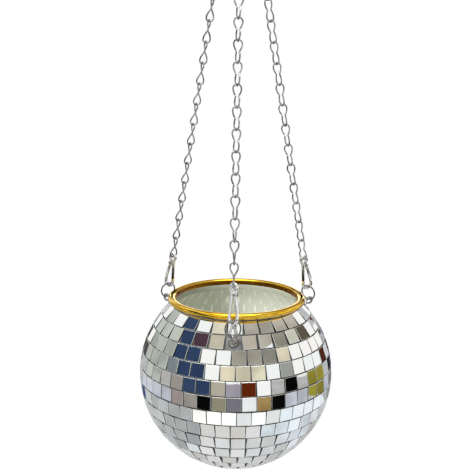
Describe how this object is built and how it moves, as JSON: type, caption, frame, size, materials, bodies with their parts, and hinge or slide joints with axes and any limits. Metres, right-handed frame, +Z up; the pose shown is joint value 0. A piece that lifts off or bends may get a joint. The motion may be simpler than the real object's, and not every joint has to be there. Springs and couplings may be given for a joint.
{
  "type": "hanging mirror ball planter",
  "caption": "Open-topped mirror ball with a gold rim, hung from a hook on clipped jack chains, to hold a small potted plant.",
  "frame": {"origin": "hang point: inside the top of the hook's bow, where a rail or ceiling hook bears", "axes": "+Z up along the hanging axis, -Y the front, where the front chain hangs, +X to the right in the front view"},
  "size_m": [0.1506, 0.1506, 0.5124],
  "materials": {
    "mirror_glass": "silvered glass tiles",
    "gold_plating": "polished gold plating",
    "bright_steel": "bright nickel-plated steel wire",
    "grey_plastic": "translucent grey-green moulding",
    "spring_steel": "plain spring steel"
  },
  "bodies": {
    "hook": {"hanger_hook": "bright_steel"},
    "ring": {"top_ring": "bright_steel"},
    "planter": {"ball_shell": "grey_plastic", "rim_bead": "gold_plating", "mirror_row_01": "mirror_glass", "mirror_row_02_front": "mirror_glass", "mirror_row_02_right": "mirror_glass", "mirror_row_02_left": "mirror_glass", "mirror_row_03": "mirror_glass", "mirror_row_04": "mirror_glass", "mirror_row_05": "mirror_glass", "mirror_row_06": "mirror_glass", "mirror_row_07": "mirror_glass", "mirror_row_08": "mirror_glass", "mirror_row_09": "mirror_glass", "mirror_row_10": "mirror_glass", "mirror_row_11": "mirror_glass", "mirror_row_12": "mirror_glass", "mirror_row_13": "mirror_glass", "mirror_row_14": "mirror_glass", "mirror_row_15": "mirror_glass", "base_mirror": "mirror_glass", "eye_bolt_front": "bright_steel", "eye_bolt_right": "bright_steel", "eye_bolt_left": "bright_steel", "washer_front": "bright_steel", "washer_right": "bright_steel", "washer_left": "bright_steel", "nut_front": "bright_steel", "nut_right": "bright_steel", "nut_left": "bright_steel"},
    "front_chain": {"chain_front": "bright_steel"},
    "right_chain": {"chain_right": "bright_steel"},
    "left_chain": {"chain_left": "bright_steel"},
    "front_clip": {"clip_body_front": "bright_steel", "gate_rivet_front": "bright_steel"},
    "right_clip": {"clip_body_right": "bright_steel", "gate_rivet_right": "bright_steel"},
    "left_clip": {"clip_body_left": "bright_steel", "gate_rivet_left": "bright_steel"},
    "front_gate": {"clip_gate_front": "bright_steel", "gate_spring_front": "spring_steel"},
    "right_gate": {"clip_gate_right": "bright_steel", "gate_spring_right": "spring_steel"},
    "left_gate": {"clip_gate_left": "bright_steel", "gate_spring_left": "spring_steel"},
    "front_jump_ring": {"jump_ring_front": "bright_steel"},
    "right_jump_ring": {"jump_ring_right": "bright_steel"},
    "left_jump_ring": {"jump_ring_left": "bright_steel"}
  },
  "joints": [
    {"name": "ring_swing", "type": "hinge", "parent": "hook", "child": "ring", "pos_m": [0, 0, -0.0436], "axis": [0, 1, 0], "range_deg": [-25, 25]},
    {"name": "planter_swing", "type": "hinge", "parent": "ring", "child": "planter", "pos_m": [0, 0, -0.06245], "axis": [1, 0, 0], "range_deg": [-25, 25]},
    {"name": "front_chain_twist", "type": "hinge", "parent": "planter", "child": "front_chain", "pos_m": [0, -0.06771, -0.38476], "axis": [0, 0.2056, 0.9786], "range_deg": [-8, 8]},
    {"name": "right_chain_twist", "type": "hinge", "parent": "planter", "child": "right_chain", "pos_m": [0.05866, 0.03386, -0.38476], "axis": [-0.1618, -0.1027, 0.9815], "range_deg": [-8, 8]},
    {"name": "left_chain_twist", "type": "hinge", "parent": "planter", "child": "left_chain", "pos_m": [-0.05866, 0.03386, -0.38476], "axis": [0.1618, -0.1027, 0.9815], "range_deg": [-8, 8]},
    {"name": "front_clip_twist", "type": "hinge", "parent": "planter", "child": "front_clip", "pos_m": [0, -0.06771, -0.38476], "axis": [0, 0.2056, 0.9786], "range_deg": [-8, 8]},
    {"name": "right_clip_twist", "type": "hinge", "parent": "planter", "child": "right_clip", "pos_m": [0.05866, 0.03386, -0.38476], "axis": [-0.1618, -0.1027, 0.9815], "range_deg": [-8, 8]},
    {"name": "left_clip_twist", "type": "hinge", "parent": "planter", "child": "left_clip", "pos_m": [-0.05866, 0.03386, -0.38476], "axis": [0.1618, -0.1027, 0.9815], "range_deg": [-8, 8]},
    {"name": "front_gate_open", "type": "hinge", "parent": "front_clip", "child": "front_gate", "pos_m": [0.00119, -0.06242, -0.35553], "axis": [0.5736, 0.8017, -0.1684], "range_deg": [0, 17], "stiffness_Nm_per_rad": 0.02, "springref_deg": -11.46},
    {"name": "right_gate_open", "type": "hinge", "parent": "right_clip", "child": "right_gate", "pos_m": [0.05513, 0.03144, -0.35534], "axis": [-0.448, 0.8938, 0.0196], "range_deg": [0, 17], "stiffness_Nm_per_rad": 0.02, "springref_deg": -11.46},
    {"name": "left_gate_open", "type": "hinge", "parent": "left_clip", "child": "left_gate", "pos_m": [-0.05502, 0.03161, -0.35533], "axis": [-0.566, -0.8244, 0.0071], "range_deg": [0, 17], "stiffness_Nm_per_rad": 0.02, "springref_deg": -11.46},
    {"name": "front_ring_spin", "type": "hinge", "parent": "planter", "child": "front_jump_ring", "pos_m": [0, -0.06648, -0.37889], "axis": [-0.4695, 0.8641, -0.1815], "continuous": true},
    {"name": "right_ring_spin", "type": "hinge", "parent": "planter", "child": "right_jump_ring", "pos_m": [0.05769, 0.03324, -0.37887], "axis": [0.566, 0.8051, 0.1775], "continuous": true},
    {"name": "left_ring_spin", "type": "hinge", "parent": "planter", "child": "left_jump_ring", "pos_m": [-0.05769, 0.03324, -0.37887], "axis": [-0.566, 0.8051, 0.1775], "continuous": true}
  ]
}
